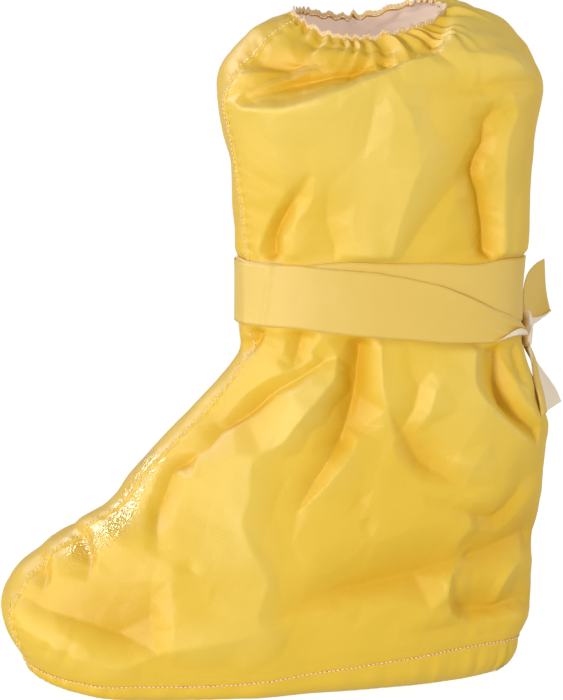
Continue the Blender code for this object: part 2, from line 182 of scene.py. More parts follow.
# Creases of the near side, as seen in the side view: millimetres to the right of the boot's middle, and
# up from the view's lower edge. A path runs upwards or from left to right. Rise is how far its line
# stands out, or sinks in where negative; left and right say how far the slope reaches on each side.
# Start and end are the shares of the rise at the path's two ends.
Crease = namedtuple("Crease", "name rise left right start end path")
CREASES = [Crease(*row) for row in (
    ("collar swag", 6.0, 5, 55, 0.25, 0.5, (
        (-27, 379), (-22, 373), (-1, 373), (10, 375), (35, 386), (62, 398), (77, 407), (90, 412),
        (105, 422), (109, 432))),
    ("recess floor", -3.8, 34, 24, 0.4, 0.5, ((-14, 385), (4, 393), (28, 400), (52, 408))),
    ("recess ridge", 0.8, 8, 8, 0.4, 0.3, ((-22, 385), (-8, 392), (5, 399), (17, 408), (28, 414))),
    ("recess upper trough", -1.8, 11, 9, 0.3, 0.3, ((-20, 389), (-8, 402), (3, 408), (24, 413))),
    ("recess lower trough", -2.0, 22, 9, 0.5, 0.4, ((-15, 382), (-1, 388), (21, 395), (42, 402))),
    ("recess wedge", -1.8, 9, 8, 0.3, 0.6, ((36, 389), (44, 398), (52, 410))),
    ("front corner", -2.2, 6, 5, 0.6, 0.3, ((-28, 407), (-13, 412), (5, 414), (18, 418))),
    ("front corner facet", 1.6, 5, 8, 0.3, 0.5, ((-4, 421), (12, 429))),
    ("collar pleat", -1.6, 5, 4, 0.2, 1.0, ((72, 402), (64, 418))),
    ("collar pleat back", -1.6, 5, 5, 0.2, 1.0, ((108, 404), (96, 418), (92, 428))),
    ("shoulder ridge", 2.2, 14, 16, 0.4, 0.6, ((106, 417), (131, 408), (156, 394))),
    ("back shoulder", 3.0, 40, 12, 0.4, 0.4, ((154, 394), (146, 399), (135, 411), (129, 419))),
    ("back shoulder trough", -2.0, 12, 8, 0.3, 0.5, (
        (93, 389), (118, 388), (130, 391), (150, 393), (159, 393))),
    ("shaft back trough", -3.6, 11, 4, 1.0, 0.4, (
        (131, 266), (130, 282), (129, 299), (126, 316), (122, 328), (124, 340), (128, 347), (128, 360),
        (132, 369))),
    ("shaft back ridge", 2.6, 5, 20, 1.0, 0.4, (
        (134, 266), (136, 295), (137, 316), (137, 333), (140, 354), (145, 367), (142, 381))),
    ("shaft diagonal", -1.3, 14, 10, 1.0, 0.3, ((69, 268), (84, 291), (99, 313), (120, 332))),
    ("shaft face edge", 4.6, 60, 30, 0.8, 0.3, (
        (66, 268), (72, 295), (77, 312), (81, 326), (89, 343), (98, 352))),
    ("shaft upper edge", 2.5, 40, 10, 0.3, 0.5, ((87, 350), (81, 359), (78, 371), (69, 388))),
    ("shaft front ridge", 1.2, 25, 12, 0.2, 0.3, ((2, 317), (2, 329), (-3, 354), (-5, 371))),
    ("tie notch", -3.4, 5, 7, 1.0, 0.3, ((-5, 268), (-6, 289), (2, 305), (13, 320))),
    ("shaft middle trough", -1.2, 14, 10, 0.2, 0.4, ((50, 338), (55, 360), (58, 383))),
    ("shaft low front", -1.6, 14, 10, 1.0, 0.2, ((32, 268), (34, 282), (28, 300), (30, 322))),
    ("ankle front notch", -3.0, 5, 5, 0.5, 1.0, ((-28, 217), (-18, 225), (-15, 235))),
    ("ankle notch", -2.5, 8, 8, 0.3, 1.0, ((7, 210), (10, 222), (12, 232))),
    ("instep trough", -3.8, 16, 10, 0.4, 0.7, (
        (-61, 149), (-45, 160), (-38, 170), (-23, 179), (-6, 192), (12, 202), (27, 212))),
    ("instep upper ridge", 1.5, 10, 8, 0.4, 0.6, (
        (-38, 176), (-23, 192), (-6, 202), (9, 208), (20, 213))),
    ("instep nose", 5.0, 30, 8, 0.3, 0.7, ((3, 163), (10, 172), (17, 181), (32, 200), (34, 208))),
    ("vamp trough", -2.2, 5, 8, 0.2, 0.8, (
        (-77, 93), (-79, 108), (-78, 119), (-73, 131), (-68, 144), (-61, 149))),
    ("foot facet", 3.0, 45, 14, 0.2, 0.5, (
        (-10, 43), (-16, 52), (-9, 73), (-17, 91), (-24, 111), (-19, 128), (-17, 151), (-5, 157), (12, 169))),
    ("middle trough low", -2.0, 14, 6, 0.2, 0.8, ((10, 118), (23, 139), (37, 161))),
    ("middle lit edge", 1.8, 6, 12, 0.3, 0.4, ((14, 120), (29, 135), (45, 155), (47, 163))),
    ("middle trough", -5.2, 18, 18, 0.4, 1.0, ((36, 161), (43, 181), (47, 200), (50, 232))),
    ("middle ridge", 3.2, 14, 10, 0.2, 1.0, ((71, 164), (66, 185), (63, 197), (62, 226))),
    ("small ridge", 2.4, 6, 14, 0.2, 0.4, ((85, 169), (92, 180), (95, 193), (100, 202))),
    ("back facet", 3.6, 30, 8, 0.4, 1.0, (
        (154, 163), (137, 178), (125, 187), (119, 197), (118, 205), (119, 220))),
    ("back trough", -4.0, 8, 6, 0.6, 1.0, (
        (157, 168), (149, 176), (141, 186), (138, 196), (137, 208), (136, 222))),
    ("back ridge", 2.0, 6, 6, 0.5, 1.0, ((161, 175), (152, 184), (146, 196), (141, 208), (137, 222))),
    ("back trough inner", -2.0, 5, 5, 0.2, 1.0, ((149, 200), (147, 212), (146, 222))),
    ("back ridge inner", 1.5, 5, 6, 0.3, 1.0, ((156, 180), (154, 196), (151, 208), (148, 222))),
    ("heel wrinkle", -0.8, 5, 5, 0.1, 0.1, ((40, 115), (58, 133))),
    ("heel wrinkle low", -0.8, 5, 5, 0.1, 0.1, ((50, 103), (57, 116))),
    ("hump front", -3.0, 16, 8, 0.3, 0.3, ((71, 175), (79, 162), (87, 149), (102, 140), (115, 133))),
    ("hump", 2.5, 28, 28, 0.4, 0.4, ((105, 150), (118, 148), (132, 146))),
    ("hump lower edge", -2.0, 8, 6, 0.2, 0.4, (
        (93, 126), (114, 118), (134, 113), (146, 128), (149, 135))),
    ("heel small ridge", 1.0, 8, 5, 0.2, 0.4, ((111, 93), (112, 100), (118, 108), (118, 115))),
    ("heel long trough", -4.2, 22, 12, 0.2, 0.8, (
        (-1, 49), (23, 63), (47, 70), (84, 78), (107, 86), (132, 93), (156, 105))),
    ("heel dent", -4.4, 26, 7, 0.4, 0.6, ((107, 59), (115, 56), (132, 56), (152, 63))),
    ("heel dent edge", 2.4, 14, 4, 0.4, 0.4, ((106, 57), (103, 66), (106, 79), (116, 90))),
    ("heel thin crease", 1.8, 4, 7, 0.3, 0.3, ((137, 60), (140, 76), (150, 88))),
    ("heel low trough", -1.2, 6, 6, 0.2, 0.3, ((77, 41), (95, 43), (120, 46), (137, 44))),
    ("foot low ridge", 2.2, 20, 10, 0.4, 0.2, ((-115, 13), (-77, 28), (-57, 33), (-8, 44), (12, 51))),
    ("toe trough", -3.0, 40, 16, 0.4, 0.5, ((-166, 68), (-146, 56), (-116, 46), (-92, 36), (-77, 28))),
    ("toe cap", 1.8, 22, 22, 0.4, 0.4, ((-162, 46), (-132, 31), (-106, 21))),
    ("toe upright trough", -2.4, 45, 9, 0.4, 0.3, ((-79, 32), (-82, 52), (-81, 75))),
    ("toe top dent", -2.7, 13, 4, 0.4, 0.8, ((-121, 83), (-120, 90), (-123, 100), (-130, 110))),
    ("toe end dent", -2.2, 11, 4, 0.3, 0.7, ((-151, 70), (-149, 81), (-152, 94))),
    ("toe wrinkle", -0.6, 4, 4, 0.2, 0.2, ((-148, 27), (-146, 36))),
    ("toe wrinkle back", -0.8, 5, 4, 0.2, 0.2, ((-138, 22), (-130, 37))),
    ("vamp wrinkle", -0.8, 5, 5, 0.1, 0.1, ((-65, 86), (-50, 77))),
)]
CREASE_STEPS = 6  # straight steps to each span of a path
CREASE_STRENGTH = 2.3
CREASE_SOFTNESS = 0.5  # radius of a crease's line
CREASE_FALL = 1.9  # power that its slope falls off by
CREASE_SPREAD = 1.6  # what the table's reaches are stretched by, as the slopes fade out
CREASE_END = 0.4  # share of a path that its end fades over
CREASE_NARROWEST = 0.3  # share of its reach that is left where it has faded out
CREASE_CLOSEST = 4.5  # least reach of a slope
WAY_BLEND = 1.5  # millimetres over which neighbouring steps of a path blend
EDGE_FADE = 0.35  # share of the creases that is left along the front and back lines
SIDE_FACING = (0.1, 0.55)  # how far the surface faces sideways, there and where they are whole
CRUMPLE_SEED = 7
CRUMPLE_DIRECTIONS = 3
CRUMPLES = ((95.0, 1.5), (62.0, 0.8), (43.0, 0.5), (28.0, 0.25))  # wave length and height of each fold
CRUMPLE_WARP = 9.0
CRUMPLE_BEND = 110.0
FAR_LIMIT = 30.0  # the far side's creases are wholly its own this far from the front and back lines
FAR_SHIFT = 9.0
FAR_WAVES = ((33.0, 0.6), (41.0, 2.2))  # length and phase of its shifts across and up
FAR_RISE = 0.85

# The creases' heights are taken at corners and joined by flat facets, on a map of the side view
FACET = 15.0  # size of a flat facet
FACET_SHARE = 0.95  # the rest keeps the soft slopes
FACET_SEED = 3
FACET_FOOT = (0.6, 1.1)  # where a narrow slope's foot is, in shares of its reach
FACET_ROUNDING = 1  # times that the map is smoothed
LEAST_AREA = 0.0001
MAP_LEFT, MAP_LOW = -200.0, -20.0
MAP_WIDTH, MAP_HEIGHT = 400.0, 490.0
MAP_STEP = 0.5

# The heel is fuller at the back, low down
HEEL_SWELL = 4.5
HEEL_SWELL_HEIGHT = 40.0
HEEL_SWELL_REACH = 20.0
HEEL_FACING = (0.3, 0.9)  # how far the surface faces back, at its start and where it is whole

# The film catches the light in broken glints along the front of the foot
GLINT_PATH = ((-127, 94), (-109, 105), (-99, 117), (-88, 138), (-82, 150))
GLINT_SPREAD = 8.0
GLINT_EDGE = 5.0  # the glints end this far beyond the middle line

# Pleats at the collar and beside the tie. Their spacing wanders by radians, and their strength by shares.
PLEAT_DRIFT, PLEAT_FINE_DRIFT = 2.6, 2.0
PLEAT_EVENNESS = 0.6
COLLAR_PLEATS = 37
COLLAR_PLEAT_SEED = 2.0
COLLAR_PLEAT_DEPTH = 4.0
COLLAR_PLEAT_REACH = 30.0
COLLAR_PLEAT_SHORTEST = 0.25  # share of that reach at the front and the back
COLLAR_PLEAT_UNEVEN = 0.3
COLLAR_PLEAT_HOLD = 5.0  # how far below the edge the elastic holds the pleats small
COLLAR_PLEAT_EDGE = 0.55  # share of the depth that it leaves them
COLLAR_CALM = 0.75  # share of the creases that it takes away at the edge
COLLAR_CALM_REACH = 6.0
TIE_PLEATS = 23
TIE_PLEAT_SEED = 1.0
TIE_PLEAT_DEPTH = 0.8
TIE_PLEAT_REACH = 16.0
TIE_GRIP = 6.0  # the film comes free of the tie over this distance
# The collar leans to the near side: how far it is lower there, or higher on the far side, at distances
# down the fabric from its edge
LipRow = namedtuple("LipRow", "name distance near_drop far_rise")
LIP = (
    LipRow("edge", 0.0, 3.5, 10.0),
    LipRow("throat", 14.0, 10.0, 6.5),
    LipRow("shoulder", 30.0, 14.0, 3.0),
    LipRow("below the shoulder", 55.0, 7.0, 1.0),
    LipRow("shaft", 85.0, 0.0, 0.0),
)
LIP_SWING = 31.0  # distance from the middle at which a side has its drop or rise in full
PUCKER_LENGTH = 6.5
PUCKER_DEPTH = 0.3
PUCKER_REACH = 6.0


def ramp(values, low, high):
    """0 below low, 1 above high, and smooth between."""
    share = np.clip((values - low) / (high - low), 0, 1)
    return share * share * (3 - 2 * share)


def curve_through(rows, positions):
    """A Catmull-Rom curve through the rows of a table, read at positions from 0 to its last row."""
    rows = np.asarray(rows, float)
    positions = np.asarray(positions, float)
    padded = np.vstack([2 * rows[0] - rows[1], rows, 2 * rows[-1] - rows[-2]])
    index = np.clip(np.floor(positions).astype(int), 0, len(rows) - 2)
    t = (positions - index)[:, None]
    a, b, c, d = (padded[index + step] for step in range(4))
    return 0.5 * (2 * b + (c - a) * t + (2 * a - 5 * b + 4 * c - d) * t**2 + (3 * b - a - 3 * c + d) * t**3)


def unit(vectors):
    return vectors / np.linalg.norm(vectors, axis=-1, keepdims=True)


def running_total(lengths):
    return np.concatenate([[0], np.cumsum(lengths)])


def all_round(count):
    """Even angles round the boot."""
    return np.arange(count) * 2 * math.pi / count


def smooth_points(places, angles):
    """Points of the smooth upper, at places in the table of sections and angles round from the front."""
    values = curve_through(SECTION_VALUES, places.ravel())
    columns = (column.reshape(places.shape) for column in values.T)
    front_x, front_z, back_x, back_z, width, taper, roundness, dip, skew = columns
    cosine, sine = np.cos(angles), np.sin(angles)
    along = -np.sign(cosine) * np.abs(cosine) ** (2 / roundness)
    across = -np.sign(sine) * np.abs(sine) ** (2 / roundness)
    share = (1 + along) / 2
    x = TOE_TIP_X + FOOT_LENGTH / 100 * (front_x + (back_x - front_x) * share)
    y = BALL_WIDTH / 200 * width * (1 + taper * along) * across
    z = HEIGHT / 100 * (front_z + (back_z - front_z) * share)
    z = z - dip * (1 - along**2) * (1 - skew * along)
    return np.stack([x, y, z], axis=-1)


def smooth_normals(places, angles):
    """Outward normals of the smooth upper, and the millimetres that a turn of one radian covers."""
    upward = smooth_points(places + PLACE_STEP, angles) - smooth_points(places - PLACE_STEP, angles)
    around = smooth_points(places, angles + ANGLE_STEP) - smooth_points(places, angles - ANGLE_STEP)
    girth = np.linalg.norm(around, axis=-1) / (2 * ANGLE_STEP)
    return unit(np.cross(around, upward)), girth


def surface_steps(turns):
    """Places up the upper and angles round it, and the mean lengths of the steps between them."""
    places, angles = np.linspace(0, LAST_PLACE, FINE_PLACES), np.linspace(0, 2 * math.pi, turns)
    sheet = smooth_points(*np.meshgrid(places, angles, indexing="ij"))
    climbs = np.linalg.norm(np.diff(sheet, axis=0), axis=2).mean(axis=1)
    arcs = np.linalg.norm(np.diff(sheet, axis=1), axis=2).mean(axis=0)
    return places, angles, climbs, arcs


CLIMB_PLACES, _, CLIMB_STEPS, _ = surface_steps(CLIMB_TURNS)
CLIMB = running_total(CLIMB_STEPS)  # how far up the fabric each place lies from the sole seam


def below_collar(places):
    return CLIMB[-1] - np.interp(places, CLIMB_PLACES, CLIMB)


def side_view(points):
    """Where points lie in the side view: millimetres right of its middle, and up from its lower edge."""
    offset = points - AIM
    scale = DISTANCE / (DISTANCE - offset @ BACK)
    return offset @ RIGHT * scale, offset @ UP * scale + VIEW_SCALE * PICTURE_HEIGHT / 2


def crease_view(points):
    """Where points look up their creases. The far side has the near side's, moved about so they differ."""
    folded = points * np.where(points[..., 1:2] > 0, (1, -1, 1), (1, 1, 1))
    across, up = side_view(folded)
    far = ramp(points[..., 1], 0, FAR_LIMIT)
    shift_across, shift_up = (
        far * FAR_SHIFT * np.sin(along / length + phase)
        for along, (length, phase) in zip((up, across), FAR_WAVES))
    return across + shift_across, up + shift_up, 1 - (1 - FAR_RISE) * far


def nearest_on(path, across, up):
    """Distance to a path, signed distance to its right, and share of the way along it, blended a little."""
    distances, sides, ways = [], [], []
    steps = len(path) - 1
    for step in range(steps):
        run, climb = path[step + 1] - path[step]
        length = math.hypot(run, climb)
        from_across, from_up = across - path[step][0], up - path[step][1]
        share = np.clip((from_across * run + from_up * climb) / length**2, 0, 1)
        off_across, off_up = from_across - share * run, from_up - share * climb
        distances.append(np.hypot(off_across, off_up))
        sides.append((off_across * climb - off_up * run) / length)
        ways.append((step + share) / steps)
    distances = np.array(distances)
    nearest = distances.min(axis=0)
    weights = np.exp((nearest - distances) / WAY_BLEND)
    weights /= weights.sum(axis=0)
    return nearest, (weights * sides).sum(axis=0), (weights * ways).sum(axis=0)


def fine_path(path):
    spans = len(path) - 1
    return curve_through(path, np.linspace(0, spans, CREASE_STEPS * spans + 1))


def crease_rise(crease, path, across, up):
    nearest, side, way = nearest_on(path, across, up)
    lean = side / np.maximum(nearest, 0.001)
    ends = np.interp(way, (0, CREASE_END, 1 - CREASE_END, 1), (crease.start, 1, 1, crease.end))
    narrow = CREASE_NARROWEST + (1 - CREASE_NARROWEST) * ends
    reach = CREASE_SPREAD * narrow * (crease.right * (1 + lean) / 2 + crease.left * (1 - lean) / 2)
    fall = (np.sqrt(nearest**2 + CREASE_SOFTNESS**2) - CREASE_SOFTNESS) / np.maximum(reach, CREASE_CLOSEST)
    return CREASE_STRENGTH * crease.rise * ends * np.clip(1 - fall, 0, 1) ** CREASE_FALL


def soft_creases(across, up):
    """How far the creases lift the film at places in the side view, with soft slopes."""
    lift = np.zeros(across.shape)
    for crease in CREASES:
        path = fine_path(crease.path)
        margin = CREASE_SPREAD * max(crease.left, crease.right)
        low, high = path.min(axis=0) - margin, path.max(axis=0) + margin
        close = (across > low[0]) & (across < high[0]) & (up > low[1]) & (up < high[1])
        lift[close] += crease_rise(crease, path, across[close], up[close])
    return lift


def facet_corners():
    """Corners and edges that the film's flat facets have: along the creases, and strewn between them."""
    corners, edges = [], []
    draws = np.random.default_rng(FACET_SEED)
    for crease in CREASES:
        path = curve_through(crease.path, np.linspace(0, len(crease.path) - 1, 2 * len(crease.path) - 1))
        first = len(corners)
        corners += [Vector(point) for point in path]
        edges += [(first + step, first + step + 1) for step in range(len(path) - 1)]
        ahead = unit(np.gradient(path, axis=0))
        to_right = np.column_stack([ahead[:, 1], -ahead[:, 0]])
        for side, reach in ((1, crease.right), (-1, crease.left)):
            if CREASE_SPREAD * reach < FACET:
                foot = CREASE_SPREAD * reach * draws.uniform(*FACET_FOOT, (len(path), 1))
                corners += [Vector(point) for point in path + side * foot * to_right]
    for across in np.arange(MAP_LEFT, MAP_LEFT + MAP_WIDTH, FACET):
        for up in np.arange(MAP_LOW, MAP_LOW + MAP_HEIGHT, FACET):
            shift = draws.uniform(-0.5, 0.5, 2) * FACET
            corners.append(Vector((across + shift[0], up + shift[1])))
    return corners, edges


def facet_map():
    """The creases over the whole side view, as flat facets blended with soft slopes."""
    corners, edges = facet_corners()
    points, _, faces = delaunay_2d_cdt(corners, edges, [], 0, 0.01)[:3]
    points = np.array([tuple(point) for point in points])
    heights = soft_creases(points[:, 0], points[:, 1])
    cells = (points - (MAP_LEFT, MAP_LOW)) / MAP_STEP
    columns, rows = int(MAP_WIDTH / MAP_STEP), int(MAP_HEIGHT / MAP_STEP)
    across, up = np.meshgrid(MAP_LEFT + MAP_STEP * np.arange(columns), MAP_LOW + MAP_STEP * np.arange(rows))
    flat = np.zeros((rows, columns))
    for face in faces:
        a, b, c = points[list(face)]
        low = np.maximum(np.floor(cells[list(face)].min(axis=0)), 0).astype(int)
        high = np.ceil(cells[list(face)].max(axis=0)).astype(int) + 1
        window = np.s_[low[1]:high[1], low[0]:high[0]]
        area = (b[0] - a[0]) * (c[1] - a[1]) - (c[0] - a[0]) * (b[1] - a[1])
        if abs(area) < LEAST_AREA:
            continue
        x, y = across[window] - a[0], up[window] - a[1]
        share_b = (x * (c[1] - a[1]) - y * (c[0] - a[0])) / area
        share_c = (y * (b[0] - a[0]) - x * (b[1] - a[1])) / area
        inside = (share_b >= 0) & (share_c >= 0) & (share_b + share_c <= 1)
        height_a, height_b, height_c = heights[list(face)]
        plane = height_a + share_b * (height_b - height_a) + share_c * (height_c - height_a)
        flat[window] = np.where(inside, plane, flat[window])
    for _ in range(FACET_ROUNDING):
        flat[1:-1] = (flat[:-2] + 2 * flat[1:-1] + flat[2:]) / 4
        flat[:, 1:-1] = (flat[:, :-2] + 2 * flat[:, 1:-1] + flat[:, 2:]) / 4
    return FACET_SHARE * flat + (1 - FACET_SHARE) * soft_creases(across, up)


FACETS = facet_map()


def creases_at(points):
    """How far the creases lift the film at points of the smooth upper."""
    across, up, strength = crease_view(points)
    rows, columns = FACETS.shape
    column = np.clip((across - MAP_LEFT) / MAP_STEP, 0, columns - 1.01)
    row = np.clip((up - MAP_LOW) / MAP_STEP, 0, rows - 1.01)
    left, low = column.astype(int), row.astype(int)
    x, y = column - left, row - low
    below = FACETS[low, left] * (1 - x) + FACETS[low, left + 1] * x
    above = FACETS[low + 1, left] * (1 - x) + FACETS[low + 1, left + 1] * x
    return (below * (1 - y) + above * y) * strength


def crumple(points):
    """Flat facets of slack fabric: folds that run through the boot in several directions and cross."""
    draws = np.random.default_rng(CRUMPLE_SEED)
    bent = points + CRUMPLE_WARP * np.sin(points[..., [2, 0, 1]] / CRUMPLE_BEND * 2 * math.pi)
    lift = np.zeros(points.shape[:-1])
    for length, height in CRUMPLES:
        for direction in unit(draws.normal(size=(CRUMPLE_DIRECTIONS, 3))):
            wave = bent @ direction / length + draws.uniform()
            lift += height * (2 * np.abs(wave - np.round(wave)) - 0.5)
    return lift


def pleats(angles, count, seed):
    """Uneven pleats round the boot: a wave whose spacing and strength wander."""
    phase = count * angles + PLEAT_DRIFT * np.sin(3 * angles + seed)
    phase += PLEAT_FINE_DRIFT * np.sin(7 * angles + 2 * seed)
    wander = np.sin(5 * angles + 3 * seed) * np.sin(11 * angles + seed)
    return (PLEAT_EVENNESS + (1 - PLEAT_EVENNESS) * wander) * np.cos(phase)


def sharp_pleats(angles, count, seed):
    """Pleats with narrow valleys between broad folds."""
    wave = pleats(angles, count, seed)
    return 1 - 2 * np.sqrt(np.clip((1 - wave) / 2, 0, 1))


def turn_way(angles):
    """Share of the way from the front to the knot, on either side."""
    return np.abs((angles + math.pi) % (2 * math.pi) - math.pi) / TURN_REACH


def film_lift(places, angles, points, normals, girth):
    """How far the film stands off its smooth form."""
    z = points[..., 2]
    tie_low = np.minimum(np.interp(turn_way(angles), TURN_WAYS, TURN_LOWS), TIE_BOTTOM)
    from_tie = np.maximum(np.maximum(tie_low - z, z - TIE_TOP), 0)
    free = ramp(from_tie, 0, TIE_GRIP)
    climb = np.interp(places, CLIMB_PLACES, CLIMB)
    from_collar = CLIMB[-1] - climb
    sideways = EDGE_FADE + (1 - EDGE_FADE) * ramp(np.abs(normals[..., 1]), *SIDE_FACING)
    calm = 1 - COLLAR_CALM * np.exp(-from_collar / COLLAR_CALM_REACH)
    lift = (sideways * creases_at(points) + crumple(points)) * calm
    lift += TIE_PLEAT_DEPTH * pleats(angles, TIE_PLEATS, TIE_PLEAT_SEED) * np.exp(-from_tie / TIE_PLEAT_REACH)
    heel = np.exp(-((z - HEEL_SWELL_HEIGHT) / HEEL_SWELL_REACH) ** 2)
    lift += HEEL_SWELL * heel * ramp(normals[..., 0], *HEEL_FACING)
    lift *= free
    sides = COLLAR_PLEAT_SHORTEST + (1 - COLLAR_PLEAT_SHORTEST) * np.sin(angles) ** 4
    length = COLLAR_PLEAT_REACH * sides * (1 + COLLAR_PLEAT_UNEVEN * np.sin(9 * angles + 1))
    loose = COLLAR_PLEAT_EDGE + (1 - COLLAR_PLEAT_EDGE) * ramp(from_collar, 0, COLLAR_PLEAT_HOLD)
    gather = loose * np.exp(-(from_collar / length) ** 2)
    lift += COLLAR_PLEAT_DEPTH * gather * sharp_pleats(angles, COLLAR_PLEATS, COLLAR_PLEAT_SEED)
    from_seam = np.abs(angles - SEAM_ANGLE) * girth
    pucker = np.cos(2 * math.pi * climb / PUCKER_LENGTH) * np.exp(-(from_seam / PUCKER_REACH) ** 2)
    pucker += np.cos(2 * math.pi * girth * angles / PUCKER_LENGTH) * np.exp(-(climb / PUCKER_REACH) ** 2)
    return lift + PUCKER_DEPTH * pucker * free


def film(places, angles, proud=0.0):
    """Points of the creased film, or of something standing proud of it, and its smooth normals."""
    places, angles = np.broadcast_arrays(np.asarray(places, float), angles)
    points = smooth_points(places, angles)
    normals, girth = smooth_normals(places, angles)
    lift = film_lift(places, angles, points, normals, girth) + proud
    formed = points + normals * lift[..., None]
    distances, near_drops, far_rises = zip(*(row[1:] for row in LIP))
    near = ramp(-points[..., 1], 0, LIP_SWING)
    far = ramp(points[..., 1], 0, LIP_SWING)
    formed[..., 2] -= near * np.interp(below_collar(places), distances, near_drops)
    formed[..., 2] += far * np.interp(below_collar(places), distances, far_rises)
    return formed, normals


def places_at_height(angles, heights):
    """Places on the shaft where the smooth upper has these heights, one column to an angle."""
    ladder = np.linspace(PLACE_OF["heel hump"], PLACE_OF["calf"], LADDER_STEPS)
    places = np.empty(heights.shape)
    for column, angle in enumerate(angles):
        z = smooth_points(ladder, np.full(LADDER_STEPS, angle))[:, 2]
        places[:, column] = np.interp(heights[:, column], z, ladder)
    return places


def even_steps(lengths, count, closed=False):
    """Where to cut a run of steps with these lengths into count even ones, as positions in the run."""
    reached = running_total(lengths)
    wanted = np.linspace(0, reached[-1], count + 1 if closed else count)
    return np.interp(wanted, reached, np.arange(len(reached)))[:count]


def upper_parameters():
    """Places of the rows and angles of the columns, evenly spaced over the surface."""
    places, turns, climbs, arcs = surface_steps(FINE_TURNS)
    rows = np.interp(even_steps(climbs, ROWS), np.arange(FINE_PLACES), places)
    arcs = arcs * np.where(turns[:-1] < math.pi, NEAR_SHARE, 2 - NEAR_SHARE)
    return rows, np.interp(even_steps(arcs, COLUMNS, closed=True), np.arange(FINE_TURNS), turns)


def grid_faces(rows, columns, wraps, first=0):
    faces = []
    for row in range(rows - 1):
        low, high = first + row * columns, first + (row + 1) * columns
        for column in range(columns if wraps else columns - 1):
            after = (column + 1) % columns
            faces.append((low + column, low + after, high + after, high + column))
    return faces


def add_mesh(name, points, faces, *materials):
    mesh = bpy.data.meshes.new(name)
    mesh.from_pydata((np.asarray(points) * MM).tolist(), [], faces)
    for material in materials:
        mesh.materials.append(material)
    mesh.shade_smooth()
    piece = bpy.data.objects.new(name, mesh)
    bpy.context.scene.collection.objects.link(piece)
    return piece


def add_grid(name, grid, wraps, *materials):
    rows, columns = grid.shape[:2]
    return add_mesh(name, grid.reshape(-1, 3), grid_faces(rows, columns, wraps), *materials)


def thicken(piece, thickness, offset=-1):
    """Gives a sheet its thickness. Its second material shows on the inner face."""
    wall = piece.modifiers.new("fabric wall", "SOLIDIFY")
    wall.thickness = thickness * MM
    wall.offset = offset
    wall.material_offset = 1
    return piece


def settle(piece, slot, *nodes):
    """A piece of the boot hangs from the root body and hides the CAD nodes that it stands for. The slot is
    not used.
    """
    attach(piece, "root")
    if nodes:
        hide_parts(*nodes)


def add_values(piece, name, values):
    attribute = piece.data.attributes.new(name, "FLOAT", "POINT")
    attribute.data.foreach_set("value", values.ravel().astype(np.float32))


def add_upper(outside):
    """The upper's creased film: the foot and the shaft, which meet under the tie."""
    rows, angles = upper_parameters()
    under_tie = (PLACE_OF["tie low"] + PLACE_OF["tie high"]) / 2
    meet = int(np.searchsorted(rows, under_tie))
    for name, span in (("foot_film", rows[:meet + 1]), ("shaft_film", rows[meet:])):
        places, turns = np.meshgrid(span, angles, indexing="ij")
        points = film(places, turns)[0]
        piece = add_grid(name, points, True, outside)
        across, up = side_view(points.reshape(-1, 3))
        glint = np.exp(-(nearest_on(fine_path(GLINT_PATH), across, up)[0] / GLINT_SPREAD) ** 2)
        glint *= points.reshape(-1, 3)[:, 1] < GLINT_EDGE
        add_values(piece, "gloss", glint)
        # The fold value drives painted shade in the creases' troughs and painted highlight on their ridges
        add_values(piece, "fold", creases_at(smooth_points(places, turns)) / FOLD_FULL)
        settle(piece, "coated_fabric", "upper")


def add_lining(inside):
    """The upper's pale inside, as seen through the collar."""
    rows = np.linspace(0, LAST_PLACE, LINING_ROWS)
    points, normals = film(rows[:, None], all_round(LINING_COLUMNS))
    depth = LINING_DEPTH + LINING_SLACK * ramp(below_collar(rows), 0, LINING_SLACK_REACH)
    settle(add_grid("upper_lining", points - normals * depth[:, None, None], True, inside), "coated_fabric")


def floor_height(x):
    toe_start = TOE_TIP_X + TOE_SPRING_LENGTH
    heel_start = TOE_TIP_X + FOOT_LENGTH - HEEL_SPRING_LENGTH
    toe = np.clip((toe_start - x) / TOE_SPRING_LENGTH, 0, 1)
    heel = np.clip((x - heel_start) / HEEL_SPRING_LENGTH, 0, 1)
    return TOE_SPRING * toe**2 + HEEL_SPRING * heel**2


SOLE_COLUMNS = 300
SOLE_ROWS = 17
SOLE_LAP = 0.13  # place up the upper that the sole panel laps to
SOLE_ROUND = 22.0  # the panel turns under in an even curve up to this height
SOLE_PROUD = 0.45  # how far it stands off the film
SOLE_PUCKER = 0.4
SOLE_PUCKERS = (5.2, 8.1)  # columns to a pucker, in two waves


def sole_rows(angles):
    """Rows of the sole's rim under the creased film, from the seam down to the floor."""
    seam = film(SOLE_LAP, angles, SOLE_PROUD)[0]
    along = np.roll(seam, -1, axis=0) - np.roll(seam, 1, axis=0)
    inward = unit(np.stack([along[:, 1], -along[:, 0]], axis=1))
    middle = seam[:, :2].mean(axis=0)
    if np.sum(inward * (middle - seam[:, :2])) < 0:
        inward = -inward
    height = seam[:, 2] - floor_height(seam[:, 0])
    turned = np.minimum(height, SOLE_ROUND)
    rim = curve_through([row[1:] for row in SOLE_RIM], np.linspace(0, len(SOLE_RIM) - 1, SOLE_ROWS))
    columns = 2 * math.pi * np.arange(len(angles))
    pucker = sum(np.cos(columns / length) for length in SOLE_PUCKERS)
    rows = []
    for share, inset in rim:
        swell = SOLE_PUCKER * pucker * 4 * share * (1 - share)
        plan = seam[:, :2] + inward * (inset * turned - swell)[:, None]
        z = floor_height(plan[:, 0]) + height * max(share, 0)
        rows.append(np.column_stack([plan, z]))
    rows[0][:, 2] = seam[:, 2]
    return np.array(rows)


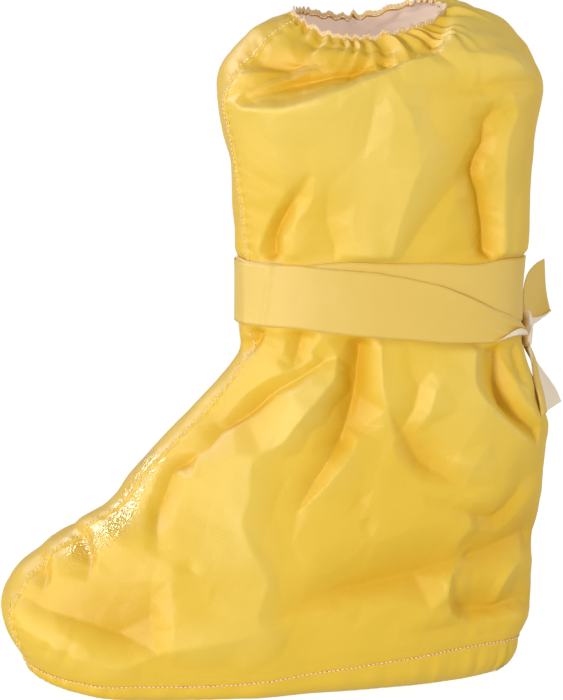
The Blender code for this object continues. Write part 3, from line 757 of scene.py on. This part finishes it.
def add_sole(outside, inside):
    """The sole panel: its rim, and a floor bridged across from the near side to the far side."""
    grid = sole_rows(all_round(SOLE_COLUMNS))
    faces = [face[::-1] for face in grid_faces(SOLE_ROWS, SOLE_COLUMNS, True)]
    last = (SOLE_ROWS - 1) * SOLE_COLUMNS
    for column in range(SOLE_COLUMNS // 2):
        far, farther = (SOLE_COLUMNS - column) % SOLE_COLUMNS, SOLE_COLUMNS - column - 1
        corners = [last + column, last + column + 1, last + farther, last + far]
        faces.append(tuple(dict.fromkeys(corners[::-1])))
    piece = thicken(add_mesh("sole_film", grid.reshape(-1, 3), faces, outside, inside), FABRIC)
    settle(piece, "coated_fabric", "sole")


TUBE_ASIDE = (0.31, 0.42, 0.85)  # a direction that no tube follows


def tube_along(path, radius, sides, closed):
    """Rings of points round a path of points."""
    ahead = np.roll(path, -1, axis=0) - np.roll(path, 1, axis=0) if closed else np.gradient(path, axis=0)
    ahead = unit(ahead)
    aside = unit(np.cross(ahead, TUBE_ASIDE))
    above = np.cross(aside, ahead)
    turns = all_round(sides)
    ring = aside[:, None, :] * np.cos(turns)[None, :, None] + above[:, None, :] * np.sin(turns)[None, :, None]
    return path[:, None, :] + ring * np.broadcast_to(radius, (len(path),))[:, None, None]


STITCH_LENGTH = 2.0
STITCH_PITCH = 2.8
STITCH_RADIUS = 0.5
STITCH_SHAPE = ((0.0, 0.25), (0.12, 0.8), (0.5, 1.0), (0.88, 0.8), (1.0, 0.25))  # way, share of radius
STITCH_ARCH = 0.45  # how much higher its thick middle stands
STITCH_LEVEL = 0.6  # share of the radius that lies level with the line
STITCH_SIDES = 6


def add_stitches(name, line, outward, material):
    """A row of separate stitches along a line of points, each dipping into the fabric at its ends."""
    reached = running_total(np.linalg.norm(np.diff(line, axis=0), axis=1))
    ways, thick = np.array(STITCH_SHAPE).T
    points, faces = [], []
    for start in np.arange(0, reached[-1] - STITCH_LENGTH, STITCH_PITCH):
        along = start + STITCH_LENGTH * ways
        path, lean = (
            np.column_stack([np.interp(along, reached, column) for column in rows.T])
            for rows in (line, outward))
        path = path + lean * (STITCH_ARCH * (thick - STITCH_LEVEL))[:, None]
        first = len(points) * len(path) * STITCH_SIDES
        points.append(tube_along(path, STITCH_RADIUS * thick, STITCH_SIDES, False).reshape(-1, 3))
        faces += grid_faces(len(path), STITCH_SIDES, True, first)
        last = first + (len(path) - 1) * STITCH_SIDES
        faces.append(tuple(range(first + STITCH_SIDES - 1, first - 1, -1)))
        faces.append(tuple(range(last, last + STITCH_SIDES)))
    settle(add_mesh(name, np.concatenate(points), faces, material), "overlock")


# Front seam: a narrow welt, in shares of a column from its middle, with how proud it stands
WELT = ((-0.34, 0.05), (-0.26, 0.45), (-0.1, 0.75), (0.1, 0.75), (0.26, 0.45), (0.34, 0.05))
SEAM_PLACES = 420
SEAM_FIRST, SEAM_LAST = 0.95, LAST_PLACE - 0.2
SEAM_STITCHES_PROUD = 0.8
SEAM_STITCHES_CLEAR = 2.0  # distance from the tie


def add_front_seam(outside, thread):
    """The welt up the front, and its stitches."""
    places = np.linspace(SEAM_FIRST, SEAM_LAST, SEAM_PLACES)
    rows = [film(places, SEAM_ANGLE + share * COLUMN_TURN, proud)[0] for share, proud in WELT]
    settle(add_grid("front_seam_welt", np.stack(rows, axis=1), False, outside), "coated_fabric", "front_seam")
    line, normals = film(places, SEAM_ANGLE, SEAM_STITCHES_PROUD)
    below = line[:, 2] < TIE_BOTTOM - SEAM_STITCHES_CLEAR
    above = line[:, 2] > TIE_TOP + SEAM_STITCHES_CLEAR
    add_stitches("front_stitches_foot", line[below], normals[below], thread)
    add_stitches("front_stitches_shaft", line[above], normals[above], thread)


# Sole seam: a hem round the foot, from its lower edge up: place up the upper, and how proud it stands
HEM = ((0.02, -0.4), (0.10, 0.0), (0.24, 0.2), (0.38, 0.2), (0.46, 0.14), (0.50, 0.08), (0.52, 0.02))
HEM_STITCHES = 0.15
HEM_STITCHES_PROUD = 0.55
HEM_COLUMNS = 420


def add_sole_seam(outside, thread):
    """The hem that covers the joint of upper and sole, and its stitches."""
    rows = [film(place, all_round(HEM_COLUMNS), proud)[0] for place, proud in HEM]
    settle(add_grid("sole_hem", np.array(rows), True, outside), "coated_fabric", "sole_seam")
    line, normals = film(HEM_STITCHES, np.linspace(0, 2 * math.pi, HEM_COLUMNS), HEM_STITCHES_PROUD)
    add_stitches("sole_stitches", line, normals, thread)


ELASTIC_COLUMNS = 420
ELASTIC_SIDES = 12
EDGE_SHARE = 0.62  # the gathered edge is drawn thinner than the elastic's full section
ELASTIC_HALF, ELASTIC_THICK = EDGE_SHARE * ELASTIC_HEIGHT / 2, EDGE_SHARE * ELASTIC_THICKNESS / 2
OVERLOCK_LOOPS = 120
OVERLOCK_POINTS = 14
OVERLOCK_RADIUS = 0.27
OVERLOCK_SIDES = 5
OVERLOCK_CLEAR = 0.15  # how far it stands off the band
OVERLOCK_WANDER = 0.12


def round_collar(angles, turns, clear, wander):
    """Points round the collar's edge, at angles round the boot and turns round the elastic's section."""
    edge, normals = film(LAST_PLACE, angles)
    out = unit(normals * (1, 1, 0)) * ((ELASTIC_THICK + clear) * wander * np.cos(turns))[..., None]
    up = GAP + ELASTIC_HALF + (ELASTIC_HALF + clear) * wander * np.sin(turns)
    return edge + out + up[..., None] * (0, 0, 1)


def add_collar(band_material, thread):
    """The elastic edge as a soft roll, and the overlock thread wound over it."""
    ring = round_collar(all_round(ELASTIC_COLUMNS)[:, None], all_round(ELASTIC_SIDES), 0.0, 1.0)
    band = add_grid("collar_band", np.concatenate([ring, ring[:1]]), True, band_material)
    settle(band, "overlock", "collar_elastic")
    wound = all_round(OVERLOCK_LOOPS * OVERLOCK_POINTS)
    wander = 1 + OVERLOCK_WANDER * np.sin(wound * 23) * np.sin(wound * 57 + 1)
    path = round_collar(wound, wound * OVERLOCK_LOOPS, OVERLOCK_CLEAR, wander)
    tube = tube_along(path, OVERLOCK_RADIUS, OVERLOCK_SIDES, True)
    settle(add_grid("collar_overlock", np.concatenate([tube, tube[:1]]), True, thread), "overlock")


HUMP_REACH = 0.9 * COLUMN_TURN
TIE_COLUMNS = 240
TIE_ROWS = 15
TIE_CLEAR = 0.2
TIE_SLACK = 0.15
TIE_EDGE_WAVES = ((0.9, 5, 0.7), (0.5, 11, 0.0))  # height, count and phase of the upper edge's waves


def seam_hump(angles):
    """How far the tie rides up over the front seam."""
    return (SEAM_HEIGHT + GAP) * np.exp(-((angles - SEAM_ANGLE) / HUMP_REACH) ** 2)


def add_first_turn(outside, inside):
    """The tie's first turn, flat round the ankle."""
    angles = all_round(TIE_COLUMNS)
    share = np.linspace(0, 1, TIE_ROWS)[:, None]
    edge = sum(height * np.sin(count * angles + phase) for height, count, phase in TIE_EDGE_WAVES)
    places = places_at_height(angles, TIE_BOTTOM + share * (TIE_WIDTH + edge * share))
    slack = TIE_SLACK * np.sin(9 * angles + 6 * share) * np.sin(4 * angles + 2)
    points = film(places, angles, GAP + FABRIC + TIE_CLEAR + slack + seam_hump(angles))[0]
    piece = thicken(add_grid("tie_first", points, True, outside, inside), FABRIC)
    settle(piece, "tie_fabric", "tie_first_turn")


TURN_COLUMNS = 300
TURN_ROWS = 21
TURN_CLEAR = 0.4
TURN_SLACK = 0.2
TURN_PLEATS = 2.2
TURN_PLEAT_DEPTH = 0.6
TURN_PLEAT_WANDER = 0.4
BUNCH_WAYS = (0.4, 0.95)  # ways to the knot where the strap begins to bunch, and is bunched
CURL_SHARE = 0.62  # share of the strap's width that is turned up beside the knot
CURL_WAYS = (0.77, 0.95)
CURL_RISE = 1.3
CURL_BEND = 0.05
TUCK_ANGLE, TUCK_LEAN, TUCK_WIDTH = 0.60, 0.08, 0.035  # a small tuck in front, in radians
TUCK_RISE = 0.9


def add_second_turn(outside, inside):
    """The tie's second turn, from the knot round the front and back, sinking and bunching on its way."""
    angles = np.linspace(-TURN_REACH, TURN_REACH, TURN_COLUMNS)
    way = turn_way(angles)
    low = np.interp(way, TURN_WAYS, TURN_LOWS)
    width = np.interp(way, TURN_WAYS, TURN_WIDTHS)
    share = np.linspace(0, 1, TURN_ROWS)[:, None]
    curl = CURL_SHARE * ramp(way, *CURL_WAYS)
    folded = np.where(share < curl / 2, curl - share, share)
    over = CURL_RISE * ramp(curl / 2 - share, 0.0, CURL_BEND)
    places = places_at_height(angles, low + width * folded)
    bunched = ramp(way, *BUNCH_WAYS)
    wander = TURN_PLEATS * share + TURN_PLEAT_WANDER * np.sin(3 * angles)
    pleat = TURN_PLEAT_DEPTH * bunched * np.cos(2 * math.pi * wander)
    slack = TURN_SLACK * np.sin(7 * angles + 4 * share + 1) * (1 - bunched)
    tuck = TUCK_RISE * np.exp(-((angles - TUCK_ANGLE - TUCK_LEAN * share) / TUCK_WIDTH) ** 2)
    base = 2 * (GAP + FABRIC) + TURN_CLEAR + seam_hump(angles)
    points = film(places, angles, base + pleat + slack + tuck + over)[0]
    piece = thicken(add_grid("tie_second", points, False, outside, inside), FABRIC)
    settle(piece, "tie_fabric", "tie_second_turn")


KNOT_ROWS = 25
KNOT_SIDES = 40
KNOT_FOLDS = ((0.07, 2, 2.1), (0.05, 5, -1.6))  # depth, count and winding of the strap's folds


def add_knot(material):
    """The knot: a wrapped lump with the strap's folds winding round it."""
    rows = curve_through([row[1:] for row in KNOT], np.linspace(0, len(KNOT) - 1, KNOT_ROWS))
    height, depth, width = rows.T[:, :, None]
    angle = all_round(KNOT_SIDES)
    fold = 1 + sum(size * np.cos(count * angle + height / winding) for size, count, winding in KNOT_FOLDS)
    x = KNOT_X + depth * fold * np.cos(angle)
    y = width / 2 * fold * np.sin(angle)
    rings = np.stack([x, y, np.broadcast_to(KNOT_Z + height, x.shape)], axis=-1)
    faces = grid_faces(KNOT_ROWS, KNOT_SIDES, True)
    top = (KNOT_ROWS - 1) * KNOT_SIDES
    faces.append(tuple(range(KNOT_SIDES))[::-1])
    faces.append(tuple(range(top, top + KNOT_SIDES)))
    settle(add_mesh("tie_knot_wrap", rings.reshape(-1, 3), faces, material), "tie_fabric", "tie_knot")


TAIL_ROWS = 40
TAIL_STRIPS = 61
TAIL_PLEATS = 3.0
TAIL_PLEAT_DEPTH = 1.6
TAIL_FOLD_LEAST, TAIL_FOLD = 0.5, 9.0  # how wide the turned-over edge is
TAIL_FOLD_RISE = 1.3
TAIL_FOLD_BEND = 1.5
TAIL_RIPPLE = 0.6
TAIL_RIPPLE_RUN, TAIL_RIPPLE_SPREAD, TAIL_RIPPLE_PHASE = 5.0, 2.6, 0.5  # radians


def tail_grid(table):
    """A strip across a tail's centre line: gathered at the knot, with one edge turned over its face."""
    rows = curve_through([row[1:] for row in table], np.linspace(0, len(table) - 1, TAIL_ROWS))
    wide = unit(rows[:, 4:7])
    centre, half, trough = rows[:, :3], rows[:, 3:4], rows[:, 7:8]
    facing = unit(np.cross(np.gradient(centre, axis=0), wide))
    fold = np.clip(TIE_WIDTH - 2 * half, TAIL_FOLD_LEAST, TAIL_FOLD)
    strap = np.linspace(0, TIE_WIDTH, TAIL_STRIPS)
    spread = 2 * half / (TIE_WIDTH - fold)
    aside = np.where(strap < fold, fold - strap, (strap - fold) * spread) - half
    turned = TAIL_FOLD_RISE * ramp(fold - strap, 0, TAIL_FOLD_BEND)
    bunched = np.clip(1 - spread, 0, 1)
    pleat = TAIL_PLEAT_DEPTH * bunched * np.cos(2 * math.pi * TAIL_PLEATS * strap / TIE_WIDTH)
    wave = TAIL_RIPPLE * np.sin(np.linspace(0, TAIL_RIPPLE_RUN, TAIL_ROWS))[:, None]
    wave = wave * np.cos(TAIL_RIPPLE_SPREAD * aside / half + TAIL_RIPPLE_PHASE)
    sink = trough * (1 - (aside / half) ** 2)
    grid = centre[:, None, :] + wide[:, None, :] * aside[:, :, None]
    grid = grid + facing[:, None, :] * (turned + pleat + wave)[:, :, None]
    return grid - np.array([1.0, 0.0, 0.0]) * sink[:, :, None]


def add_tail(name, node, table, turn, outside, inside):
    """A free end of the tie. Turn is -1 where its outside faces the knot's side of the boot."""
    piece = add_grid(name, tail_grid(table)[:, ::turn], False, outside, inside)
    thicken(piece, FABRIC, 0)
    settle(piece, "tie_fabric", node)


# Colours and finishes. Texture scales are in features a metre, depths in millimetres.
FILM = (0.84, 0.54, 0.038)
# The next two colours are painted shade for the creases' troughs and painted highlight for their ridges
FILM_PAINTED_SHADE = (0.77, 0.44, 0.012)
FILM_PAINTED_HIGHLIGHT = (0.86, 0.60, 0.092)
FOLD_FULL = 8.0  # depth or height of a fold that has its painted shade or painted highlight in full
FILM_ROUGHNESS, GLINT_ROUGHNESS = 0.52, 0.08
FILM_SHINE, GLINT_SHINE = 0.45, 1.0
WEAVE_SCALE, WEAVE_DEPTH = 900.0, 0.07
CRINKLE_SCALE, CRINKLE_DEPTH = 250.0, 1.1
LINING = (0.74, 0.63, 0.55)
LINING_PAINTED_GLOW = 0.25  # painted glow that stands in for light coming through the thin fabric
STRAP_LOW, STRAP_HIGH = (0.80, 0.53, 0.095), (0.84, 0.575, 0.12)
STRAP_INSIDE = (0.97, 0.82, 0.62)
STRAP_ROUGHNESS = 0.55
STRAP_DRIFT_SCALE = 30.0
EMBOSS_SCALE, EMBOSS_DEPTH = 420.0, 0.03
DRAPE_SCALE, DRAPE_DEPTH = 80.0, 0.6
COLLAR_EDGE = (0.84, 0.60, 0.22)
OVERLOCK = (0.88, 0.72, 0.58)
STITCH = (0.92, 0.70, 0.44)
THREAD_ROUGHNESS, SMOOTH_ROUGHNESS = 0.8, 0.6


def new_material(name, colour, roughness):
    material = bpy.data.materials.new(name)
    material.use_nodes = True
    shader = material.node_tree.nodes["Principled BSDF"]
    shader.inputs["Base Color"].default_value = (*colour, 1)
    shader.inputs["Roughness"].default_value = roughness
    return material, shader


def texture(material, kind, scale, **settings):
    """A solid texture in the boot's own coordinates."""
    nodes, links = material.node_tree.nodes, material.node_tree.links
    place = nodes.new("ShaderNodeTexCoord")
    pattern = nodes.new(kind)
    links.new(place.outputs["Object"], pattern.inputs["Vector"])
    pattern.inputs["Scale"].default_value = scale
    for setting, value in settings.items():
        pattern.inputs[setting].default_value = value
    return pattern


def vary_colour(material, shader, low, high, scale):
    """Base colour that drifts between two shades."""
    nodes, links = material.node_tree.nodes, material.node_tree.links
    drift = texture(material, "ShaderNodeTexNoise", scale, Detail=2.0)
    mix = nodes.new("ShaderNodeMix")
    mix.data_type = "RGBA"
    mix.inputs["A"].default_value = (*low, 1)
    mix.inputs["B"].default_value = (*high, 1)
    links.new(drift.outputs["Fac"], mix.inputs["Factor"])
    links.new(mix.outputs["Result"], shader.inputs["Base Color"])


def add_bump(material, shader, height, depth, strength=None):
    """Relief of a depth in millimetres on top of whatever the shader has."""
    nodes, links = material.node_tree.nodes, material.node_tree.links
    bump = nodes.new("ShaderNodeBump")
    bump.inputs["Distance"].default_value = depth * MM
    links.new(height, bump.inputs["Height"])
    if strength is not None:
        links.new(strength, bump.inputs["Strength"])
    if shader.inputs["Normal"].is_linked:
        links.new(shader.inputs["Normal"].links[0].from_socket, bump.inputs["Normal"])
    links.new(bump.outputs["Normal"], shader.inputs["Normal"])


def from_mesh(material, name, least, low, high):
    """A value that the mesh carries, from least to 1, spread from low to high."""
    nodes = material.node_tree.nodes
    carried = nodes.new("ShaderNodeAttribute")
    carried.attribute_name = name
    spread = nodes.new("ShaderNodeMapRange")
    for limit, value in (("From Min", least), ("To Min", low), ("To Max", high)):
        spread.inputs[limit].default_value = value
    material.node_tree.links.new(carried.outputs["Fac"], spread.inputs["Value"])
    return spread.outputs["Result"]


def film_material():
    """Yellow film: satin, with painted shade darkening its folds and painted highlight paling its ridges, and
    glossy and crinkled where the glints are.
    """
    material, shader = new_material("yellow film", FILM, FILM_ROUGHNESS)
    nodes, links = material.node_tree.nodes, material.node_tree.links
    # Painted shade in the folds' troughs and painted highlight on their ridges, set by the fold value
    shades = nodes.new("ShaderNodeValToRGB")
    shades.color_ramp.elements[0].color = (*FILM_PAINTED_SHADE, 1)
    shades.color_ramp.elements[1].color = (*FILM_PAINTED_HIGHLIGHT, 1)
    shades.color_ramp.elements.new(0.5).color = (*FILM, 1)
    links.new(from_mesh(material, "fold", -1, 0, 1), shades.inputs["Fac"])
    links.new(shades.outputs["Color"], shader.inputs["Base Color"])
    roughness = from_mesh(material, "gloss", 0, FILM_ROUGHNESS, GLINT_ROUGHNESS)
    links.new(roughness, shader.inputs["Roughness"])
    shine = from_mesh(material, "gloss", 0, FILM_SHINE, GLINT_SHINE)
    links.new(shine, shader.inputs["Specular IOR Level"])
    weave = texture(material, "ShaderNodeTexVoronoi", WEAVE_SCALE)
    add_bump(material, shader, weave.outputs["Distance"], WEAVE_DEPTH)
    crinkle = texture(material, "ShaderNodeTexNoise", CRINKLE_SCALE, Detail=2.0, Distortion=1.6)
    add_bump(material, shader, crinkle.outputs["Fac"], CRINKLE_DEPTH, from_mesh(material, "gloss", 0, 0, 1))
    return material


def lining_material():
    """Pale inside, with a painted glow that stands in for light coming through the fabric."""
    material, shader = new_material("lining", LINING, THREAD_ROUGHNESS)
    # Painted glow: emission in place of light coming through the fabric
    shader.inputs["Emission Color"].default_value = (*LINING, 1)
    shader.inputs["Emission Strength"].default_value = LINING_PAINTED_GLOW
    return material


def strap_material(name, low, high):
    """Matte strap with a fine diagonal emboss."""
    material, shader = new_material(name, low, STRAP_ROUGHNESS)
    vary_colour(material, shader, low, high, STRAP_DRIFT_SCALE)
    emboss = texture(material, "ShaderNodeTexWave", EMBOSS_SCALE, Distortion=1.5, Detail=1.0)
    emboss.bands_direction = "DIAGONAL"
    add_bump(material, shader, emboss.outputs["Fac"], EMBOSS_DEPTH)
    drape = texture(material, "ShaderNodeTexNoise", DRAPE_SCALE, Detail=2.0)
    add_bump(material, shader, drape.outputs["Fac"], DRAPE_DEPTH)
    return material


AMBIENT = 0.55
FLOOR_GLOW = 0.93
FLOOR_PALE = 0.12
FLOOR_HALF = 6000  # half the floor's side
# Lights, in metres and watts. Some show only in the gloss.
Light = namedtuple("Light", "name place aim size power only_gloss")
LIGHTS = (
    Light("key", (-1.4, -1.95, 0.3), (0, 0, 0.2), (0.45, 0.45), 28, False),
    Light("fill", (2.2, -0.6, 0.5), (0, 0, 0.2), (0.8, 0.8), 8.5, False),
    Light("soft wall of light", (-1.4, -0.5, 0.4), (0, -0.1, 0.2), (1.8, 1.7), 30, True),
    Light("small bright light", (-1.1, 0.6, 1.35), (-0.1, 0, 0.1), (0.5, 0.5), 24, True),
)


def add_camera():
    camera = bpy.data.objects.new("camera", bpy.data.cameras.new("camera"))
    bpy.context.scene.collection.objects.link(camera)
    camera.data.lens = LENS
    camera.data.sensor_width = SENSOR
    camera.data.clip_start, camera.data.clip_end = 0.05, 50
    camera.location = Vector((AIM + BACK * DISTANCE) * MM)
    camera.rotation_mode = "QUATERNION"
    camera.rotation_quaternion = Vector(-BACK).to_track_quat("-Z", "Y")
    bpy.context.scene.camera = camera


def add_light(row):
    light = bpy.data.lights.new(row.name, "AREA")
    light.shape = "RECTANGLE"
    light.size, light.size_y = row.size
    light.energy = row.power
    lamp = bpy.data.objects.new(row.name, light)
    lamp.location = row.place
    lamp.rotation_mode = "QUATERNION"
    lamp.rotation_quaternion = (Vector(row.aim) - Vector(row.place)).to_track_quat("-Z", "Y")
    lamp.visible_diffuse = not row.only_gloss
    bpy.context.scene.collection.objects.link(lamp)


def add_world():
    """White all round to look at, and a softer white to light by."""
    world = bpy.data.worlds.new("studio")
    world.use_nodes = True
    nodes, links = world.node_tree.nodes, world.node_tree.links
    glow, seen = nodes["Background"], nodes.new("ShaderNodeBackground")
    for background, strength in ((glow, AMBIENT), (seen, 1.0)):
        background.inputs["Color"].default_value = (1, 1, 1, 1)
        background.inputs["Strength"].default_value = strength
    rays = nodes.new("ShaderNodeLightPath")
    mix = nodes.new("ShaderNodeMixShader")
    links.new(rays.outputs["Is Camera Ray"], mix.inputs["Fac"])
    links.new(glow.outputs["Background"], mix.inputs[1])
    links.new(seen.outputs["Background"], mix.inputs[2])
    links.new(mix.outputs["Shader"], nodes["World Output"].inputs["Surface"])
    bpy.context.scene.world = world


def add_floor():
    material, shader = new_material("pale floor", (FLOOR_PALE,) * 3, 1.0)
    shader.inputs["Emission Color"].default_value = (1, 1, 1, 1)
    shader.inputs["Emission Strength"].default_value = FLOOR_GLOW
    corners = [(x * FLOOR_HALF, y * FLOOR_HALF, 0) for x, y in ((-1, -1), (1, -1), (1, 1), (-1, 1))]
    floor = add_mesh("floor", corners, [(0, 1, 2, 3)], material)
    floor.visible_diffuse = False
    floor.visible_glossy = False


yellow = film_material()
lining = lining_material()
strap = strap_material("yellow strap", STRAP_LOW, STRAP_HIGH)
strap_inside = strap_material("cream strap", STRAP_INSIDE, STRAP_INSIDE)
collar_edge = new_material("collar edge", COLLAR_EDGE, SMOOTH_ROUGHNESS)[0]
overlock = new_material("overlock thread", OVERLOCK, THREAD_ROUGHNESS)[0]
stitch = new_material("stitches", STITCH, SMOOTH_ROUGHNESS)[0]

add_camera()
add_upper(yellow)
add_lining(lining)
add_sole(yellow, lining)
add_front_seam(yellow, stitch)
add_sole_seam(yellow, stitch)
add_collar(collar_edge, overlock)
add_first_turn(strap, strap_inside)
add_second_turn(strap, strap_inside)
add_knot(strap_inside)
add_tail("tie_tail_upper", "tie_upper_tail", UPPER_TAIL, -1, strap, strap_inside)
add_tail("tie_tail_lower", "tie_lower_tail", LOWER_TAIL, 1, strap, strap_inside)

add_world()
add_floor()
for light_row in LIGHTS:
    add_light(light_row)
bpy.context.scene.view_settings.view_transform = "Standard"
